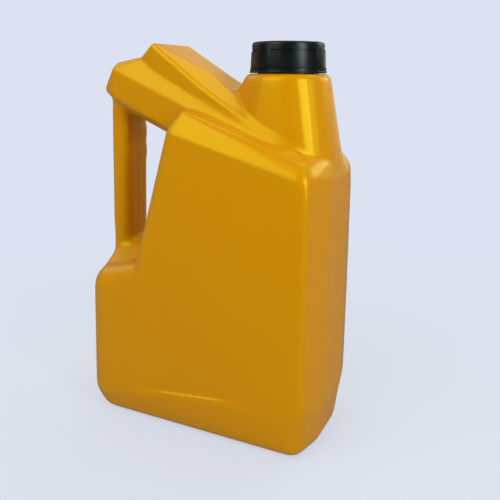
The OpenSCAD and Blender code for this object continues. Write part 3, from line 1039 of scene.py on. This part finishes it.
cap_mesh = upright_mark(cap_mesh, CORNER_TURN, MARK_FOOT_Z, MARK_TOP_Z)
cap_mesh = cut_arcs(
    cap_mesh, 1, skirt_r(MARK_FOOT_Z), MARK_DEPTH, MARK_W, CORNER_FOOT_SWEEP,
    FACING + CORNER_FOOT_TURN, MARK_FOOT_Z)
cap_mesh = upright_mark(cap_mesh, LINE_TURN, slot_z - LINE_H, slot_z)
cap_bore_r = cap_foot_r - CAP_WALL
cap_thread_mesh = thread_on(
    "cap_thread", cap_bore_r - THREAD_PROUD, neck_thread_z + THREAD_PITCH / 2)
cap_mesh = solid(cap_mesh, "UNION", [cap_thread_mesh])
cap = finished("screw_cap", cap_mesh, black)
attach(cap, "cap")
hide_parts("cap")

# %% [markdown]
# ## The tamper band
#
# The band stays on the bottle's bead when the cap is opened. It is a thin ring with a lip at its
# foot, so it is turned on the lathe, with clear room round the neck and the bead.

# %% Turn the band
BAND_LIP_H = 1.4 * MM
BAND_CLEAR = 0.6 * MM

band_mesh = turned("band", [
    (neck_r + BAND_CLEAR, band_low.z, 0.2 * MM),
    (band_lip_r, band_low.z, 0.45 * MM),
    (band_lip_r, band_low.z + BAND_LIP_H, 0.45 * MM),
    (cap_foot_r, band_low.z + BAND_LIP_H, 0.3 * MM),
    (cap_foot_r, band_high.z, 0.12 * MM),
    (BEAD_R + BAND_CLEAR, band_high.z, 0.2 * MM),
    (BEAD_R + BAND_CLEAR, band_low.z + BAND_LIP_H, 0.2 * MM),
    (neck_r + BAND_CLEAR, band_low.z + BAND_LIP_H, 0.2 * MM),
])

# %% [markdown]
# ## The bridges
#
# Small bridges once joined the band to the cap across the slit. They are alike and stand in a ring,
# so a recipe sets one small block on each point of a circle and joins it to the band. They end just
# short of the cap.

# %% Set the bridges on the band
BRIDGE_N = 60
BRIDGE_DEEP, BRIDGE_WIDE = 0.9 * MM, 0.7 * MM
BRIDGE_CLEAR = 0.03 * MM
BRIDGE_OUT = 0.22 * MM

bridges = Recipe("bridge_ring", {
    "Count": "Int", "Radius": "Float", "Size": "Vector", "Level": "Vector"})
ring = bridges.add("GeometryNodeCurvePrimitiveCircle", None, {
    "Resolution": bridges.size("Count"), "Radius": bridges.size("Radius")})
block = bridges.add("GeometryNodeMeshCube", None, {"Size": bridges.size("Size")})
turn = bridges.add("GeometryNodeInputIndex") * (2 * math.pi) / bridges.size("Count")
rotation = bridges.add("ShaderNodeCombineXYZ", None, {"Z": turn})
set_out = bridges.add("GeometryNodeInstanceOnPoints", None, {
    "Points": ring, "Instance": block, "Rotation": rotation})
set_out = bridges.add("GeometryNodeTransform", None, {
    "Geometry": set_out, "Translation": bridges.size("Level")})
set_out = bridges.add("GeometryNodeRealizeInstances", None, {"Geometry": set_out})
together = bridges.add("GeometryNodeMeshBoolean", {"operation": "UNION", "solver": "MANIFOLD"}, {
    "Mesh 2": bridges.size("Geometry")})
bridges.nodes_of.links.new(set_out.socket, together.socket.node.inputs["Mesh 2"])
bridges.end(together, black.material)

bridge_top = cap_z - BRIDGE_CLEAR
bridge_foot = band_low.z + BAND_LIP_H / 2
bridge_size = (BRIDGE_DEEP, BRIDGE_WIDE, bridge_top - bridge_foot)
band_mesh = bridges.run("band_with_bridges", band_mesh, {
    "Count": BRIDGE_N, "Radius": cap_foot_r + BRIDGE_OUT - BRIDGE_DEEP / 2, "Size": bridge_size,
    "Level": (neck_x, 0.0, (bridge_top + bridge_foot) / 2)})
band = finished("tamper_ring", band_mesh, black)
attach(band, "band")
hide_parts("tamper_band")

# %% [markdown]
# ## The sealing disc
#
# The foam disc under the cap's top is a plain punched disc, so its CAD node stays and only takes
# its finish.

# %% Paint the disc
disc = frame["nodes"]["cap_liner"]
disc.data.materials.clear()
disc.data.materials.append(foam.material)
print("painted", disc.name)

# %% [markdown]
# ## The floor
#
# The photograph has an even, pale blue-grey ground. The floor shows that colour to the camera, and
# near the bottle it mixes in its lit surface, which keeps a faint shadow so that the bottle stands
# on something. Glossy rays see the colour dimmed, so that the plastic keeps its depth.

# %% Lay the floor
GROUND = (0.716, 0.761, 0.888, 1.0)
FLOOR_DULL = 0.85
SHADE_SHARE, SHADE_REACH, FLOOR_GLOSS = 0.35, 0.6, 0.28
FLOOR_HALF = 12.0

ground = bpy.data.materials.new("pale_ground")
ground.use_nodes = True
floor_tree = Tree(ground.node_tree)
floor_shader = ground.node_tree.nodes["Principled BSDF"]
floor_shader.inputs["Base Color"].default_value = [FLOOR_DULL * part for part in GROUND[:3]] + [1.0]
floor_shader.inputs["Roughness"].default_value = 0.9
floor_shader.inputs["Specular IOR Level"].default_value = 0.1
place = floor_tree.add("ShaderNodeTexCoord").output("Object")
away = floor_tree.add("ShaderNodeVectorMath", {"operation": "LENGTH"}, {0: place}).output("Value")
shade = (1.0 - away / SHADE_REACH).at_least(0.0) * SHADE_SHARE
rays = floor_tree.add("ShaderNodeLightPath")
seen = (rays + rays.output("Is Transmission Ray")).at_most(1.0)
lit = Wire(floor_tree, floor_shader.outputs[0])
dim = floor_tree.add("ShaderNodeEmission", None, {"Color": GROUND, "Strength": FLOOR_GLOSS})
shown = floor_tree.add("ShaderNodeEmission", None, {"Color": GROUND, "Strength": 1.0})
mixed = floor_tree.add("ShaderNodeMixShader", None, {
    "Fac": rays.output("Is Glossy Ray"), 1: lit, 2: dim})
mixed = floor_tree.add("ShaderNodeMixShader", None, {
    "Fac": seen * (1.0 - shade), 1: mixed, 2: shown})
floor_end = ground.node_tree.nodes["Material Output"]
ground.node_tree.links.new(mixed.socket, floor_end.inputs["Surface"])

floor_mesh = bpy.data.meshes.new("floor")
floor_corners = [(-1, -1, 0), (1, -1, 0), (1, 1, 0), (-1, 1, 0)]
floor_mesh.from_pydata(floor_corners, [], [(0, 1, 2, 3)])
floor_mesh.transform(Matrix.Diagonal((FLOOR_HALF, FLOOR_HALF, 1.0, 1.0)))
floor_mesh.materials.append(ground)
floor = bpy.data.objects.new("floor", floor_mesh)
bpy.context.scene.collection.objects.link(floor)
print("floor laid")

# %% [markdown]
# ## The world
#
# The world is the rest of the backdrop. The camera sees the ground's colour in it, the bottle is
# filled with a weak warm light from all round, and glossy rays see little of it.

# %% Fill the world
WORLD_LIGHT, WORLD_GLOSS = 0.40, 0.12
WORLD_COLOUR = (1.0, 0.95, 0.80, 1.0)

world = bpy.data.worlds.new("studio")
bpy.context.scene.world = world
world.use_nodes = True
sky = Tree(world.node_tree)
rays = sky.add("ShaderNodeLightPath")
seen = (rays + rays.output("Is Transmission Ray")).at_most(1.0)
fill = sky.add("ShaderNodeBackground", None, {"Color": WORLD_COLOUR, "Strength": WORLD_LIGHT})
dim = sky.add("ShaderNodeBackground", None, {"Color": GROUND, "Strength": WORLD_GLOSS})
shown = sky.add("ShaderNodeBackground", None, {"Color": GROUND, "Strength": 1.0})
mixed = sky.add("ShaderNodeMixShader", None, {
    "Fac": rays.output("Is Glossy Ray"), 1: fill, 2: dim})
mixed = sky.add("ShaderNodeMixShader", None, {"Fac": seen, 1: mixed, 2: shown})
world_end = world.node_tree.nodes["World Output"]
world.node_tree.links.new(mixed.socket, world_end.inputs["Surface"])
print("world filled")

# %% [markdown]
# ## The lamps
#
# Each lamp is a soft rectangle placed where a highlight of the photograph mirrors it. A wide one
# high in front lights the slopes of the bevel and the roof, a tall one on the neck side draws the
# long streak down the tower, one behind at the right catches the corner, and the others fill. Most
# are tinted warm, the overhead one strongly, because the photograph's highlights are yellow.

# %% Set the lamps
LAMP_AIM = Vector((0.0, 0.0, 0.15))


def lamp(name, place, size, power, colour):
    """A soft rectangular lamp that looks at the bottle's middle."""
    light = bpy.data.lights.new(name, "AREA")
    light.shape = "RECTANGLE"
    light.size, light.size_y = size
    light.energy = power
    light.color = colour
    made = bpy.data.objects.new(name, light)
    bpy.context.scene.collection.objects.link(made)
    made.location = place
    made.rotation_euler = (LAMP_AIM - made.location).to_track_quat("-Z", "Y").to_euler()


WHITE, IVORY, CREAM, AMBER = (1.0, 1.0, 1.0), (1.0, 1.0, 0.82), (1.0, 0.98, 0.75), (1.0, 1.0, 0.45)
lamp("front_top", place=(-0.42, -0.92, 1.04), size=(1.0, 1.3), power=11.0, colour=IVORY)
lamp("overhead", place=(0.15, 0.45, 1.30), size=(0.9, 0.8), power=4.0, colour=AMBER)
lamp("neck_side_strip", place=(0.93, -0.42, 0.58), size=(0.34, 0.7), power=6.2, colour=WHITE)
lamp("backdrop", place=(-0.1, 1.5, 0.6), size=(1.6, 1.0), power=4.4, colour=CREAM)
lamp("right_back", place=(0.75, 0.90, 0.66), size=(0.40, 0.40), power=2.4, colour=CREAM)
lamp("left_fill", place=(-1.0, 0.2, 0.8), size=(0.8, 0.8), power=1.6, colour=WHITE)

bpy.context.scene.view_settings.view_transform = "Standard"
print("lamps set")
